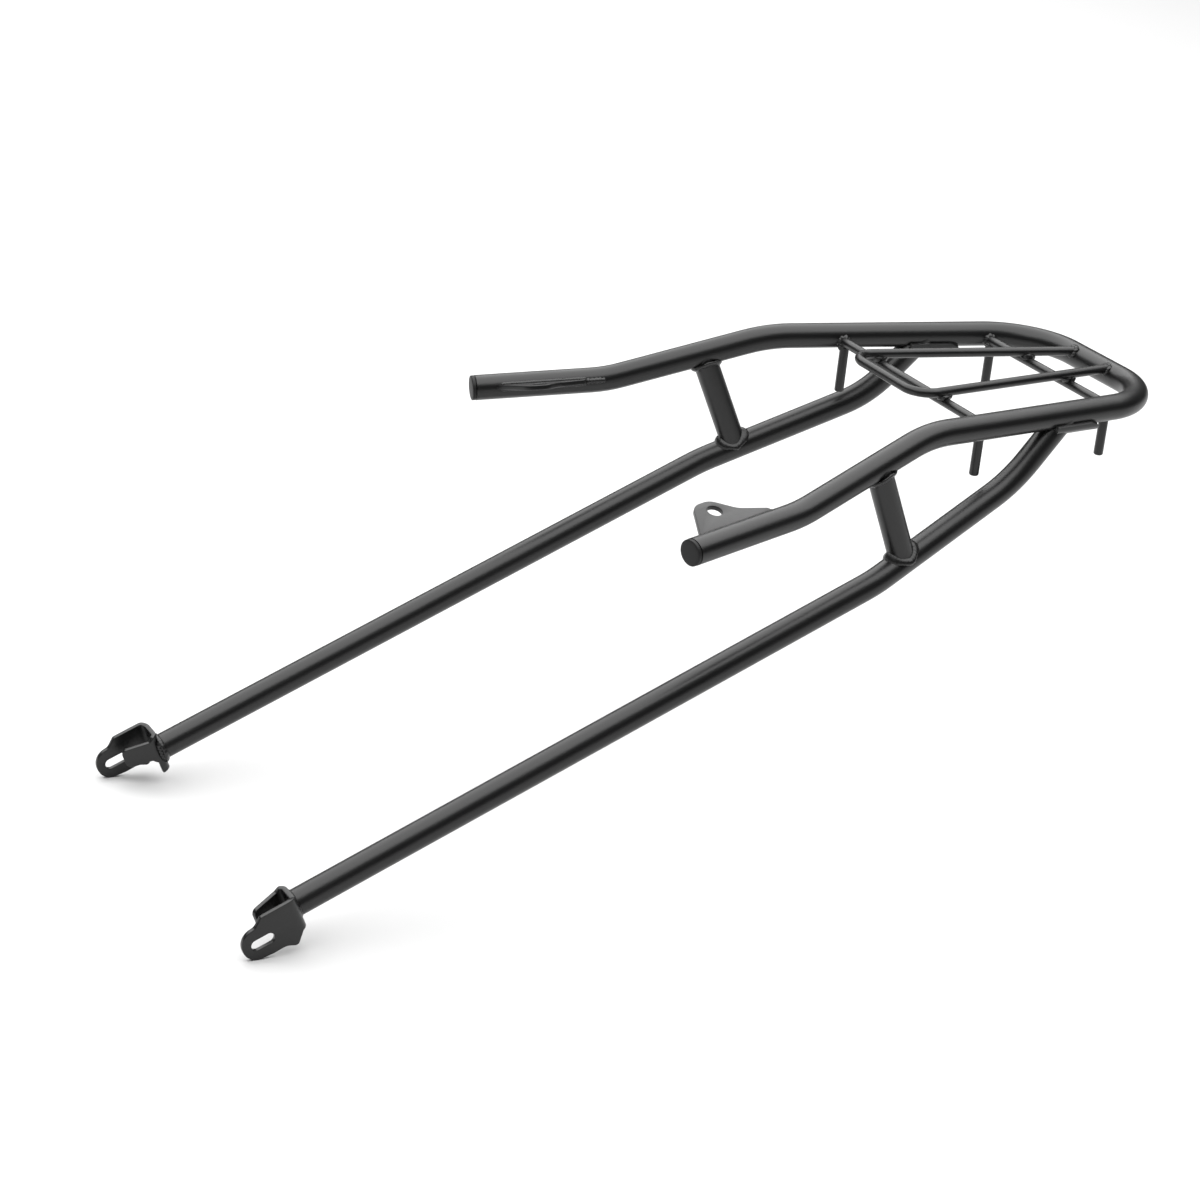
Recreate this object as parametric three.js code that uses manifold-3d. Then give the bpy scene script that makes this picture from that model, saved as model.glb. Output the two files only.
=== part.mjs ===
// Rear rack for a bicycle. A bent tube hoop is carried by two long stays and two short struts, with
// slotted brackets at the axle, drilled tabs on the forward arms, and a deck of welded rods.
//
// Millimetres. The origin is midway between the two axle slots. +X runs to the closed rear end of the
// hoop, +Z is square to the level deck, and the rack is symmetric about Y = 0. Right is +Y.

import * as THREE from 'three';
import { mergeVertices } from 'three/addons/utils/BufferGeometryUtils.js';
import Module from 'manifold-3d';

const wasm = await Module();
wasm.setup();

// ---------------------------------------------------------------- driving dimensions

// stock
const tube_diameter = 16;
const tube_wall = 1.5;
const rod_diameter = 6;
const plate_thickness = 3;
const joint_gap = 0.3;                  // between two faces that meet at a weld

// hoop
const deck_height = 258.1;              // axle line up to the hoop's axis
const shoulder_from_axle = 416.7;       // where the arms leave the level deck
const shoulder_half_width = 95;
const rear_half_width = 67.9;           // at the rear corners
const corner_radius = 47;
const arm_bend_radius = 95;
const arm_rear_run = { x: 100, out: 26.1, down: 31.4 };    // shoulder to the arm's bend
const arm_front_run = { x: 84.3, out: 21.8, down: 7.9 };   // bend to the arm's capped end

// stations along the deck, each from the one before it
const shoulder_to_front_rod = 48.5;
const front_rod_to_landing = 60.1;      // where the stay runs into the hoop
const landing_to_rear_rod = 43.4;
const rear_rod_to_rear_bar = 37.8;

// deck rods
const cross_rod_drop = 2;               // hoop's axis down to the cross rods' axis
const rail_ahead_of_front_rod = 21.4;
const rail_inset = 50.8;                // hoop's axis in to the rail's legs
const rail_corner_radius = 14;
const peg_length = 29.5;
const peg_end_round = 1.2;

// stays and struts
const stay_half_spread = 106.5;
const stay_bend_radius = 80;
const knee_ahead_of_landing = 35;
const knee_drop = 39.3;
const knee_inset = 0.8;
const landing_drop = 1.2;
const lower_bend_ahead_of_knee = 106.2;
const strut_ahead_of_shoulder = 40.5;
const strut_lean = 29.8;                // the strut's foot lies this far behind its top

// crimped tongue of the stay under the hoop
const tongue_reach = 24;                // behind the landing
const tongue_overlap = 12;              // ahead of the landing
const tongue_thickness = 3.4;
const tongue_half_angle = 64;           // degrees round the hoop, each way from underneath
const tongue_corner = 7;

// end caps
const cap_flange = 2.4;
const cap_flange_relief = 0.15;         // the flange is this much smaller than the tube all round
const cap_dome = 0.6;
const cap_stem_length = 14;
const cap_stem_wall = 1.8;

// arm tab, measured along the arm from its capped end and inwards from the arm's axis
const tab_tilt = 16.5;                  // degrees, the tab rises inwards
const tab_height = 32.3;
const tab_front = 14.5;
const tab_back = 74;
const tab_hole = { along: 40, inward: 23, diameter: 9 };

// axle bracket, measured down the stay from the stay's foot and square to it
const slot = { along: 30.3, rise: -1.7, length: 14.5, width: 6.4 };
const bracket_back = 3.5;               // rear face of the bracket's back wall
const slot_plate_offset = 14.2;         // stay's axis out to the middle of the slotted plate
const slot_plate_rise = 13.5;
const nose_radius = 9.4;
const bracket_drop = 15;
const wall_rise = 12;
const wall_drop = 8.6;
const bracket_bend = 4.5;               // at the middle of the sheet
const flange_length = 27.2;
const flange_rise = 10;
const flange_drop = 4;
const flange_taper = 0.36;              // outwards for each millimetre forwards

// facets
const tube_sides = 20;
const bore_sides = 12;
const rod_sides = 12;
const bend_step = THREE.MathUtils.degToRad(9);
const outline_step = THREE.MathUtils.degToRad(18);

// ---------------------------------------------------------------- sizes that follow

const tube_radius = tube_diameter / 2;
const bore_radius = tube_radius - tube_wall;
const rod_radius = rod_diameter / 2;
const half_plate = plate_thickness / 2;

const front_rod_x = shoulder_from_axle + shoulder_to_front_rod;
const landing_x = front_rod_x + front_rod_to_landing;
const rear_rod_x = landing_x + landing_to_rear_rod;
const rear_bar_x = rear_rod_x + rear_rod_to_rear_bar;

const side_taper = (shoulder_half_width - rear_half_width) / (rear_bar_x - shoulder_from_axle);
const hoop_half_width = (x) => shoulder_half_width - side_taper * (x - shoulder_from_axle);

const cross_rod_z = deck_height - cross_rod_drop;
const rail_z = cross_rod_z + rod_diameter + joint_gap;
const peg_top_z = cross_rod_z - rod_radius - joint_gap;

// ---------------------------------------------------------------- paths and solids

// The points and directions of a circular bend that rounds one corner of a line.
function bend_stations(before, corner, after, radius, step) {
  const into = corner.clone().sub(before).normalize();
  const out_of = after.clone().sub(corner).normalize();
  const turn = into.angleTo(out_of);
  if (radius === 0 || turn < 1e-4) {
    return [{ point: corner.clone(), along: out_of }];
  }
  const start = corner.clone().addScaledVector(into, -radius * Math.tan(turn / 2));
  const inward = out_of.clone().addScaledVector(into, -into.dot(out_of)).normalize();
  const count = Math.max(2, Math.ceil(turn / step));
  const stations = [];
  for (let i = 0; i <= count; i += 1) {
    const angle = (turn * i) / count;
    const point = start.clone();
    point.addScaledVector(into, radius * Math.sin(angle));
    point.addScaledVector(inward, radius * (1 - Math.cos(angle)));
    const along = into.clone().multiplyScalar(Math.cos(angle));
    along.addScaledVector(inward, Math.sin(angle));
    stations.push({ point, along });
  }
  return stations;
}

// A centre line of straight runs and circular bends, with one station at each end of every run.
class BentLine extends THREE.Curve {
  constructor(corners, radii) {
    super();
    const last = corners.length - 1;
    const first_run = corners[1].clone().sub(corners[0]).normalize();
    const last_run = corners[last].clone().sub(corners[last - 1]).normalize();
    this.stations = [{ point: corners[0].clone(), along: first_run }];
    for (let i = 1; i < last; i += 1) {
      const bend = bend_stations(corners[i - 1], corners[i], corners[i + 1], radii[i - 1], bend_step);
      this.stations.push(...bend);
    }
    this.stations.push({ point: corners[last].clone(), along: last_run });
  }

  get steps() {
    return this.stations.length - 1;
  }

  blend(u, key) {
    const place = u * this.steps;
    const low = Math.min(Math.floor(place + 1e-6), this.steps - 1);
    return this.stations[low][key].clone().lerp(this.stations[low + 1][key], place - low);
  }

  getPoint(t) {
    return this.blend(t, 'point');
  }

  getPointAt(u) {
    return this.blend(u, 'point');
  }

  getTangentAt(u) {
    return this.blend(u, 'along').normalize();
  }
}

function circle_points(radius, sides) {
  const points = [];
  for (let i = 0; i < sides; i += 1) {
    const angle = (2 * Math.PI * i) / sides;
    points.push(new THREE.Vector2(radius * Math.cos(angle), radius * Math.sin(angle)));
  }
  return points;
}

// A closed outline from corners [x, y, radius].
function rounded_outline(corners) {
  const flat = corners.map(([x, y]) => new THREE.Vector3(x, y, 0));
  const count = flat.length;
  const points = [];
  corners.forEach(([, , radius], i) => {
    const before = flat[(i + count - 1) % count];
    const after = flat[(i + 1) % count];
    const bend = bend_stations(before, flat[i], after, radius, outline_step);
    points.push(...bend.map(({ point }) => new THREE.Vector2(point.x, point.y)));
  });
  return new THREE.Shape(points);
}

function sweep(shape, line) {
  const options = { steps: line.steps, extrudePath: line, bevelEnabled: false };
  return new THREE.ExtrudeGeometry(shape, options);
}

function round_bar(line, radius, sides) {
  return to_solid(sweep(new THREE.Shape(circle_points(radius, sides)), line));
}

function tube(line) {
  const section = new THREE.Shape(circle_points(tube_radius, tube_sides));
  section.holes.push(new THREE.Path(circle_points(bore_radius, bore_sides)));
  return to_solid(sweep(section, line));
}

// The space that a tube takes up, with the gap that its neighbours keep.
function tube_clearance(line) {
  return round_bar(line, tube_radius + joint_gap, tube_sides);
}

// A flat slab between two heights, with its outline in the first two axes of a frame.
function slab(shape, low, high, frame) {
  const geometry = new THREE.ExtrudeGeometry(shape, { depth: high - low, bevelEnabled: false });
  geometry.translate(0, 0, low);
  geometry.applyMatrix4(frame);
  return to_solid(geometry);
}

function to_solid(geometry) {
  const bare = geometry.clone();
  bare.deleteAttribute('normal');
  bare.deleteAttribute('uv');
  const merged = mergeVertices(bare, 1e-4);
  const vertProperties = new Float32Array(merged.attributes.position.array);
  const triVerts = new Uint32Array(merged.index.array);
  return new wasm.Manifold(new wasm.Mesh({ numProp: 3, vertProperties, triVerts }));
}

function to_geometry(solid) {
  const mesh = solid.getMesh();
  const geometry = new THREE.BufferGeometry();
  geometry.setAttribute('position', new THREE.BufferAttribute(mesh.vertProperties, 3));
  geometry.setIndex(new THREE.BufferAttribute(mesh.triVerts, 1));
  return geometry;
}

// The left-hand copy of a right-hand piece.
function mirrored(geometry) {
  const copy = geometry.clone();
  copy.scale(1, -1, 1);
  const index = copy.index.array;
  for (let i = 0; i < index.length; i += 3) {
    [index[i + 1], index[i + 2]] = [index[i + 2], index[i + 1]];
  }
  return copy;
}

// ---------------------------------------------------------------- centre lines, right side

const point = (x, y, z) => new THREE.Vector3(x, y, z);

const shoulder = point(shoulder_from_axle, shoulder_half_width, deck_height);
const rear_corner = point(rear_bar_x, rear_half_width, deck_height);
const arm_bend = shoulder.clone().add(point(-arm_rear_run.x, arm_rear_run.out, -arm_rear_run.down));
const arm_tip = arm_bend.clone().add(point(-arm_front_run.x, arm_front_run.out, -arm_front_run.down));
const arm_forward = arm_tip.clone().sub(arm_bend).normalize();
const arm_tube_end = arm_tip.clone().addScaledVector(arm_forward, -(cap_flange + joint_gap));

const to_left = (p) => point(p.x, -p.y, p.z);

const hoop_corners = [arm_tube_end, arm_bend, shoulder, rear_corner];
const hoop_line = new BentLine(
  [...hoop_corners, ...hoop_corners.map(to_left).reverse()],
  [arm_bend_radius, arm_bend_radius, corner_radius, corner_radius, arm_bend_radius, arm_bend_radius],
);

// The stay slopes straight from its foot to the knee, and turns inwards at the lower bend. Its axis
// passes above the axle line by the slot's offset.
const landing = point(landing_x, hoop_half_width(landing_x), deck_height - landing_drop);
const knee_x = landing_x - knee_ahead_of_landing;
const knee = point(knee_x, hoop_half_width(knee_x) - knee_inset, deck_height - knee_drop);
const stay_slope = Math.atan2(knee.z, knee.x) - Math.asin(-slot.rise / Math.hypot(knee.x, knee.z));
const down_stay = point(-Math.cos(stay_slope), 0, -Math.sin(stay_slope));
const above_stay = point(-Math.sin(stay_slope), 0, Math.cos(stay_slope));
const stay_foot = point(0, stay_half_spread, 0);
stay_foot.addScaledVector(down_stay, -slot.along);
stay_foot.addScaledVector(above_stay, -slot.rise);
const stay_tube_end = stay_foot.clone().addScaledVector(down_stay, bracket_back - joint_gap);
const lower_bend = knee.clone().setY(stay_half_spread);
lower_bend.addScaledVector(down_stay, lower_bend_ahead_of_knee / Math.cos(stay_slope));
const stay_line = new BentLine(
  [stay_tube_end, lower_bend, knee, landing],
  [stay_bend_radius, stay_bend_radius],
);

const between = (a, b, x) => a.clone().lerp(b, (x - a.x) / (b.x - a.x));
const strut_top = between(arm_bend, shoulder, shoulder.x - strut_ahead_of_shoulder);
const strut_foot = between(lower_bend, knee, strut_top.x + strut_lean);
const strut_line = new BentLine([strut_top, strut_foot], []);

const hoop_space = tube_clearance(hoop_line);
const stay_space = tube_clearance(stay_line);

// ---------------------------------------------------------------- pieces

function hoop_tube() {
  return tube(hoop_line);
}

function end_cap() {
  const stem_radius = bore_radius - joint_gap;
  const rim_radius = tube_radius - cap_flange_relief;
  const profile = [
    [0, -1],
    [stem_radius - cap_stem_wall, -1],
    [stem_radius - cap_stem_wall, -cap_stem_length],
    [stem_radius, -cap_stem_length],
    [stem_radius, 0],
    [rim_radius, 0],
    [rim_radius, cap_flange - cap_dome - 0.6],
    [rim_radius - 0.6, cap_flange - cap_dome],
    [rim_radius * 0.55, cap_flange - cap_dome * 0.2],
    [0, cap_flange],
  ];
  const geometry = new THREE.LatheGeometry(profile.map(([r, y]) => new THREE.Vector2(r, y)), tube_sides);
  const turn = new THREE.Quaternion().setFromUnitVectors(point(0, 1, 0), arm_forward);
  geometry.applyQuaternion(turn);
  const seat = arm_tip.clone().addScaledVector(arm_forward, -cap_flange);
  geometry.translate(seat.x, seat.y, seat.z);
  return to_solid(geometry);
}

// A plate that stands on the inner side of the arm's front run, in a plane through the arm's axis.
function arm_tab() {
  const along = arm_forward.clone().negate();
  const level = point(0, -1, 0);
  level.addScaledVector(along, -level.dot(along)).normalize();
  const inward = level.applyAxisAngle(along, -THREE.MathUtils.degToRad(tab_tilt));
  const normal = along.clone().cross(inward);
  const frame = new THREE.Matrix4().makeBasis(along, inward, normal).setPosition(arm_tip);
  const shape = rounded_outline([
    [tab_front, 0, 0],
    [tab_front, 5.8, 0],
    [31.1, tab_height, 9],
    [43.5, tab_height, 9],
    [54.8, 19.4, 14],
    [72, 12, 3],
    [tab_back, 8, 0],
    [tab_back, 0, 0],
  ]);
  const hole = circle_points(tab_hole.diameter / 2, tube_sides);
  shape.holes.push(new THREE.Path(hole.map((p) => p.add(new THREE.Vector2(tab_hole.along, tab_hole.inward)))));
  return slab(shape, -half_plate, half_plate, frame).subtract(hoop_space);
}

// The stay's upper end is crimped into a tongue that cups the hoop from below.
function stay_tongue() {
  const rearwards = point(1, -side_taper, 0).normalize();
  const sideways = point(-side_taper, -1, 0).normalize();
  const up = point(0, 0, 1);
  const axis_point = point(landing_x, hoop_half_width(landing_x), deck_height);
  const length = tongue_reach + tongue_overlap;

  const half_angle = THREE.MathUtils.degToRad(tongue_half_angle);
  const inner = tube_radius + joint_gap;
  const outer = inner + tongue_thickness;
  const section = new THREE.Shape();
  const steps = 8;
  const arc = (radius, from, to) => {
    const points = [];
    for (let i = 0; i <= steps; i += 1) {
      const angle = from + ((to - from) * i) / steps - Math.PI / 2;
      points.push(new THREE.Vector2(radius * Math.cos(angle), radius * Math.sin(angle)));
    }
    return points;
  };
  section.setFromPoints([...arc(outer, -half_angle, half_angle), ...arc(inner, half_angle, -half_angle)]);
  const start = axis_point.clone().addScaledVector(rearwards, -tongue_overlap);
  const cup_frame = new THREE.Matrix4().makeBasis(sideways, up, rearwards.clone().negate());
  cup_frame.setPosition(start);
  const cup = slab(section, -length, 0, cup_frame);

  const outline = rounded_outline([
    [-1, -outer, 0],
    [length, -outer, tongue_corner],
    [length, outer, tongue_corner],
    [-1, outer, 0],
  ]);
  const plan_frame = new THREE.Matrix4().makeBasis(rearwards, sideways, rearwards.clone().cross(sideways));
  plan_frame.setPosition(start);
  return cup.intersect(slab(outline, -outer - 1, outer + 1, plan_frame));
}

function stay() {
  return tube(stay_line).add(stay_tongue()).subtract(hoop_space);
}

function strut() {
  return tube(strut_line).subtract(hoop_space).subtract(stay_space);
}

// A bent sheet: slotted plate outside, back wall across the stay's foot, short flange inside.
function axle_bracket() {
  const outwards = point(0, 1, 0);
  const frame = new THREE.Matrix4().makeBasis(down_stay, above_stay, down_stay.clone().cross(above_stay));
  frame.setPosition(stay_foot);
  const sign = Math.sign(down_stay.clone().cross(above_stay).dot(outwards));
  const local = (along, rise, out) => point(along, rise, sign * out);

  const back = bracket_back + half_plate;
  const nose_end = slot.along + slot.length / 2 + nose_radius;
  const flange_out = (along) => -tube_radius + half_plate + flange_taper * (along - back);
  const sheet_line = new BentLine(
    [
      local(flange_length, 0, flange_out(flange_length)),
      local(back, 0, flange_out(back)),
      local(back, 0, slot_plate_offset),
      local(nose_end, 0, slot_plate_offset),
    ],
    [bracket_bend, bracket_bend],
  );
  const tall = slot_plate_rise + bracket_drop + 5;
  const sheet_section = new THREE.Shape([
    new THREE.Vector2(-tall, -half_plate),
    new THREE.Vector2(tall, -half_plate),
    new THREE.Vector2(tall, half_plate),
    new THREE.Vector2(-tall, half_plate),
  ]);
  const sheet_geometry = sweep(sheet_section, sheet_line);
  sheet_geometry.applyMatrix4(frame);

  const nose_centre = 33.5;
  const nose_tip = nose_centre + nose_radius;
  const nose_rise = slot.rise + 0.6;
  const slotted_side = rounded_outline([
    [0, slot_plate_rise, 0],
    [26.3, slot_plate_rise, 2.5],
    [31.8, nose_rise + nose_radius + 0.3, 5],
    [nose_tip, nose_rise + nose_radius, nose_radius],
    [nose_tip, nose_rise - nose_radius, nose_radius],
    [27, nose_rise - nose_radius - 1.6, 6],
    [19, nose_rise - nose_radius - 1.4, 8],
    [12.8, -bracket_drop - 0.5, 2.5],
    [6, -wall_drop - 1.6, 1],
    [4.6, -wall_drop, 0.5],
    [0, -wall_drop, 0],
  ]);
  const back_wall = rounded_outline([
    [0, wall_rise, 0],
    [12, wall_rise, 0],
    [12, -wall_drop, 0],
    [0, -wall_drop, 0],
  ]);
  const inner_flange = rounded_outline([
    [0, wall_rise, 0],
    [7.5, wall_rise, 1.5],
    [10, flange_rise, 1.5],
    [flange_length, flange_rise, 3.5],
    [flange_length, -flange_drop, 4.5],
    [11, -flange_drop, 2.5],
    [8.6, -flange_drop - 3, 1.5],
    [8.6, -wall_drop, 0],
    [0, -wall_drop, 0],
  ]);
  const inner_foot = rounded_outline([
    [0, 0, 0],
    [8.6, 0, 0],
    [8.6, -bracket_drop, 1.5],
    [0, -bracket_drop, 0],
  ]);

  // Each side of the bent sheet is trimmed to its own outline.
  const inside = -60;
  const outside = 60;
  const bend_start = slot_plate_offset - bracket_bend;
  const flange_end = flange_out(flange_length) + plate_thickness;
  const foot_end = -tube_radius + 2 * plate_thickness;
  const trim = (outline, from, to) => {
    const ends = [sign * from, sign * to].sort((a, b) => a - b);
    return slab(outline, ends[0], ends[1], frame);
  };
  const kept = trim(slotted_side, bend_start, outside)
    .add(trim(back_wall, foot_end, bend_start))
    .add(trim(inner_flange, inside, flange_end))
    .add(trim(inner_foot, inside, foot_end));

  const slot_half = slot.length / 2;
  const slot_round = slot.width / 2 - 0.01;
  const slot_hole = rounded_outline([
    [slot.along - slot_half, slot.rise - slot.width / 2, slot_round],
    [slot.along + slot_half, slot.rise - slot.width / 2, slot_round],
    [slot.along + slot_half, slot.rise + slot.width / 2, slot_round],
    [slot.along - slot_half, slot.rise + slot.width / 2, slot_round],
  ]);
  return to_solid(sheet_geometry).intersect(kept).subtract(trim(slot_hole, bend_start, outside));
}

function deck_rail() {
  const leg = (x) => hoop_half_width(x) - rail_inset;
  const front_x = front_rod_x - rail_ahead_of_front_rod;
  const rear_end = point(rear_bar_x, leg(rear_bar_x), rail_z);
  const front_corner = point(front_x, leg(front_x), rail_z);
  const line = new BentLine(
    [rear_end, front_corner, to_left(front_corner), to_left(rear_end)],
    [rail_corner_radius, rail_corner_radius],
  );
  return round_bar(line, rod_radius, rod_sides).subtract(hoop_space);
}

function cross_rod(x) {
  const end = point(x, hoop_half_width(x), cross_rod_z);
  const line = new BentLine([to_left(end), end], []);
  return round_bar(line, rod_radius, rod_sides).subtract(hoop_space);
}

// The peg hangs under a cross rod, against the lower inner side of the hoop.
function peg(x) {
  const below_axis = deck_height - peg_top_z;
  const clear = Math.sqrt(Math.max(0, tube_radius ** 2 - below_axis ** 2)) + joint_gap + rod_radius;
  const inset = clear * Math.hypot(1, side_taper);
  const profile = [
    [0, -peg_length],
    [rod_radius - peg_end_round, -peg_length],
    [rod_radius, -peg_length + peg_end_round],
    [rod_radius, 0],
    [0, 0],
  ];
  const geometry = new THREE.LatheGeometry(profile.map(([r, y]) => new THREE.Vector2(r, y)), rod_sides);
  geometry.rotateX(Math.PI / 2);
  geometry.translate(x, hoop_half_width(x) - inset, peg_top_z);
  return to_solid(geometry);
}

// ---------------------------------------------------------------- assembly

const powder_coat = { color: 0x1c1c1d, roughness: 0.5, metalness: 0.1 };
const cap_plastic = { color: 0x151515, roughness: 0.62, metalness: 0 };

const rack = new THREE.Group();

function place(name, geometry, look) {
  const mesh = new THREE.Mesh(geometry, new THREE.MeshStandardMaterial(look));
  mesh.name = name;
  rack.add(mesh);
}

place('hoop_tube', to_geometry(hoop_tube()), powder_coat);
place('deck_rail', to_geometry(deck_rail()), powder_coat);
place('front_cross_rod', to_geometry(cross_rod(front_rod_x)), powder_coat);
place('rear_cross_rod', to_geometry(cross_rod(rear_rod_x)), powder_coat);

const paired = [
  ['end_cap', end_cap(), cap_plastic],
  ['arm_tab', arm_tab(), powder_coat],
  ['stay', stay(), powder_coat],
  ['strut', strut(), powder_coat],
  ['axle_bracket', axle_bracket(), powder_coat],
  ['front_peg', peg(front_rod_x), powder_coat],
  ['rear_peg', peg(rear_rod_x), powder_coat],
];
for (const [name, solid, look] of paired) {
  const right = to_geometry(solid);
  place(`right_${name}`, right, look);
  place(`left_${name}`, mirrored(right), look);
}

export default rack;
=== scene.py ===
"""A black powder-coated rear rack for a bicycle: smooth bent tubes and rods, folded brackets, weld beads."""
from math import atan2, cos, exp, hypot, pi, radians, sin, sqrt, tan

import bmesh
import bpy
from mathutils import Matrix, Vector, noise


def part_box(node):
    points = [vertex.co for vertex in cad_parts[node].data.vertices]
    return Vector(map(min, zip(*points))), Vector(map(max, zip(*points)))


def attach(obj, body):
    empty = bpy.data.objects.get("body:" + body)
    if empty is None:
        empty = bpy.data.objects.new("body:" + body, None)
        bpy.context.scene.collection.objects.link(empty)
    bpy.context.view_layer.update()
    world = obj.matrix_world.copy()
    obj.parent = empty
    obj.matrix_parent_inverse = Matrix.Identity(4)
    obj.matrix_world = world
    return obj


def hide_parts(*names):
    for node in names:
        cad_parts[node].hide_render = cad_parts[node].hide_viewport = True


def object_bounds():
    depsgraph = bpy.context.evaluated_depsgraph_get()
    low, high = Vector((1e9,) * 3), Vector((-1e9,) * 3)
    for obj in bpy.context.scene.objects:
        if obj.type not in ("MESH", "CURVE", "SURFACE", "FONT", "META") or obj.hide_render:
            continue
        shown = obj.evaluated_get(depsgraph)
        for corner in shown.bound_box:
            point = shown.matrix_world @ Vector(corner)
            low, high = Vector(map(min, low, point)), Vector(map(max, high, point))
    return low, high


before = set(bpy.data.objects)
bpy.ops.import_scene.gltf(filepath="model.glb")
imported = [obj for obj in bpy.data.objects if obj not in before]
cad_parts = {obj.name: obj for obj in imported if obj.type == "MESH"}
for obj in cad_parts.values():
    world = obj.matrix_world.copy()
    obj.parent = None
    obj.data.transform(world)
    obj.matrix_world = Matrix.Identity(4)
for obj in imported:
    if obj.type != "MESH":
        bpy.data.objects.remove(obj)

cad_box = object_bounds()
mm = 0.001

# ------------------------------------------------------------------ sizes

tube_radius = 8.0 * mm
tube_wall = 1.5 * mm
rod_radius = 3.0 * mm
sheet = 3.0 * mm

hoop_high = Vector(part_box("hoop_tube")[1])
front_rod_low, front_rod_high = (Vector(c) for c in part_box("front_cross_rod"))
rear_rod_low, rear_rod_high = (Vector(c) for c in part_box("rear_cross_rod"))
rail_low, rail_high = (Vector(c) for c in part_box("deck_rail"))
peg_low, peg_high = (Vector(c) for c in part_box("right_front_peg"))

deck_z = hoop_high.z - tube_radius
rear_bar_x = hoop_high.x - tube_radius
front_rod_x = (front_rod_low.x + front_rod_high.x) / 2
rear_rod_x = (rear_rod_low.x + rear_rod_high.x) / 2
rod_z = (front_rod_low.z + front_rod_high.z) / 2
rail_z = (rail_low.z + rail_high.z) / 2
rail_front_x = rail_low.x + rod_radius

shoulder = Vector((416.7, 95.0, 0)) * mm + Vector((0, 0, deck_z))
rear_corner = Vector((rear_bar_x, 67.9 * mm, deck_z))
arm_bend = shoulder + Vector((-100.0, 26.1, -31.4)) * mm
arm_tip = arm_bend + Vector((-84.3, 21.8, -7.9)) * mm
arm_bend_radius = 95 * mm
corner_radius = 47 * mm
cap_flange = 2.4 * mm
cap_gap = 0.6 * mm

stay_half_spread = 106.5 * mm
stay_bend_radius = 80 * mm
landing_x = front_rod_x + 60.1 * mm
landing_drop = 1.2 * mm
knee_x = landing_x - 35 * mm
knee_inset = 0.8 * mm
knee_drop = 39.3 * mm
lower_bend_run = 106.2 * mm
stay_slope = radians(23.868)
down_stay = Vector((-cos(stay_slope), 0, -sin(stay_slope)))
above_stay = Vector((-sin(stay_slope), 0, cos(stay_slope)))
slot_along = 30.3 * mm
slot_rise = -1.7 * mm
bracket_back = 3.5 * mm

rail_inset = 50.8 * mm
rail_corner_radius = 14 * mm
side_taper = (shoulder.y - rear_corner.y) / (rear_corner.x - shoulder.x)
peg_inset = 9.3 * mm
strut_from_shoulder = 40.5 * mm
strut_lean = 29.8 * mm
tab_tilt = radians(16.5)


def hoop_half_width(x):
    return shoulder.y - side_taper * (x - shoulder.x)


def rearwards_on(side):
    """The way the hoop's straight side runs, from front to rear."""
    return Vector((1, -side * side_taper, 0)).normalized()


def rail_leg(x):
    return hoop_half_width(x) - rail_inset


def peg_y(x):
    return hoop_half_width(x) - peg_inset * hypot(1, side_taper)


def sided(point, side):
    """The same point on the right (+1) or the left (-1)."""
    return Vector((point.x, side * point.y, point.z))


landing = Vector((landing_x, hoop_half_width(landing_x), deck_z - landing_drop))
knee = Vector((knee_x, hoop_half_width(knee_x) - knee_inset, deck_z - knee_drop))
lower_bend = Vector((knee.x, stay_half_spread, knee.z)) + down_stay * (lower_bend_run / cos(stay_slope))
stay_foot = Vector((0, stay_half_spread, 0)) - down_stay * slot_along - above_stay * slot_rise
up_arm = (shoulder.x - strut_from_shoulder - arm_bend.x) / (shoulder.x - arm_bend.x)
strut_top = arm_bend.lerp(shoulder, up_arm)
up_stay = (strut_top.x + strut_lean - lower_bend.x) / (knee.x - lower_bend.x)
strut_foot = lower_bend.lerp(knee, up_stay)
arm_forward = (arm_tip - arm_bend).normalized()


# ------------------------------------------------------------------ shader expressions

class Value:
    """A socket that takes part in sums: each operator adds its Math node."""

    def __init__(self, nodes, socket):
        self.nodes = nodes
        self.socket = socket

    def _math(self, operation, *terms):
        return self.nodes.add("ShaderNodeMath", {"operation": operation}, dict(enumerate(terms)))

    def __add__(self, other):
        return self._math("ADD", self, other)

    def __mul__(self, other):
        return self._math("MULTIPLY", self, other)

    __radd__ = __add__
    __rmul__ = __mul__


class Finish:
    """One material and the nodes that make it."""

    def __init__(self, name):
        self.material = bpy.data.materials.new(name)
        self.material.use_nodes = True
        self.tree = self.material.node_tree
        self.tree.nodes.clear()
        self.place = self.add("ShaderNodeTexCoord", output="Object")

    def add(self, kind, settings=None, inputs=None, output=0):
        node = self.tree.nodes.new(kind)
        for key, value in (settings or {}).items():
            setattr(node, key, value)
        for key, value in (inputs or {}).items():
            if isinstance(value, Value):
                self.tree.links.new(value.socket, node.inputs[key])
            else:
                node.inputs[key].default_value = value
        return None if output is None else Value(self, node.outputs[output])

    def grain(self, scale, detail=2.0, roughness=0.5):
        """Noise over the surface, from 0 to 1."""
        settings = {"noise_dimensions": "3D"}
        inputs = {"Vector": self.place, "Scale": scale, "Detail": detail, "Roughness": roughness}
        return self.add("ShaderNodeTexNoise", settings, inputs, "Fac")

    def mix(self, factor, first, second):
        """A blend of two colours."""
        settings = {"data_type": "RGBA"}
        return self.add("ShaderNodeMix", settings, {0: factor, 6: first, 7: second}, output=2)

    def finish(self, **inputs):
        sockets = {key.replace("_", " "): value for key, value in inputs.items()}
        shader = self.add("ShaderNodeBsdfPrincipled", None, sockets)
        self.add("ShaderNodeOutputMaterial", None, {"Surface": shader}, output=None)
        return self.material


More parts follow.
